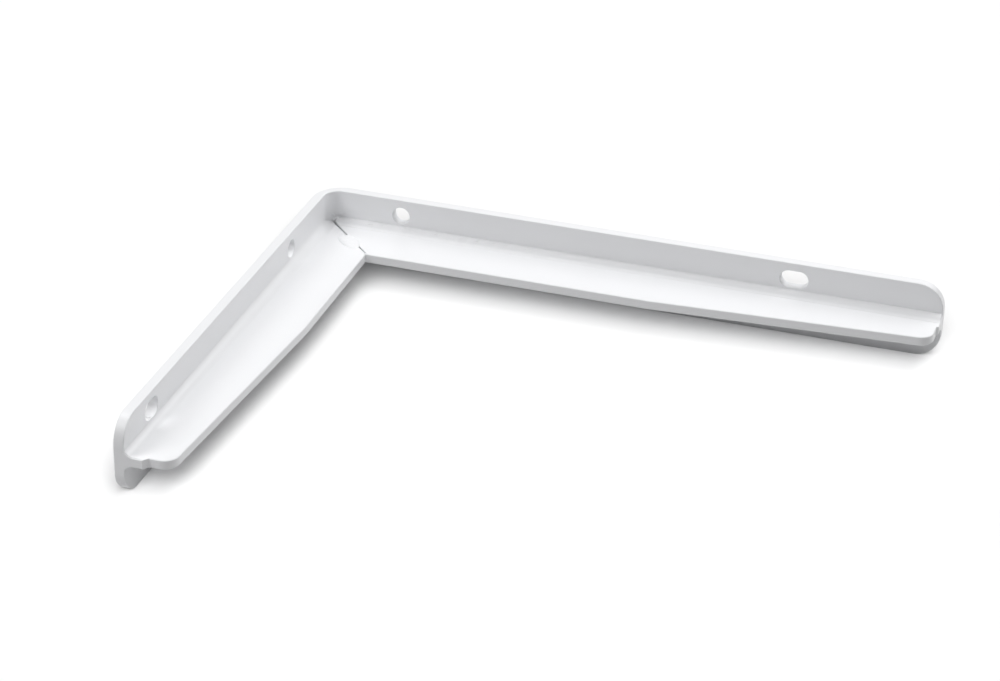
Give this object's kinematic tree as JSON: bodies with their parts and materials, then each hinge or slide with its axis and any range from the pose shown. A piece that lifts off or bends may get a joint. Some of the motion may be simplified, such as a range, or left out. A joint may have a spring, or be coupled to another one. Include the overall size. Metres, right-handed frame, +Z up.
{
  "type": "t-section shelf bracket",
  "caption": "Right-angled shelf bracket bent from rolled T-bar: flat flange outside, tapered stem inside, mitred and tack-welded at the bend, with screw holes and slots beside the stem.",
  "frame": {"origin": "under the middle of the whole bracket, at floor level; the bracket lies on the lower edge of its flange", "axes": "+Z up, across the flange's width; +X along the longer arm, away from the bend; +Y towards the longer arm's outer face, so the shorter arm points along -Y"},
  "size_m": [0.25, 0.2, 0.03],
  "materials": {
    "white_powder_coat": "satin white powder coat over steel"
  },
  "bodies": {
    "root": {"bent_t_bar": "white_powder_coat", "mitre_weld": "white_powder_coat"}
  },
  "joints": []
}
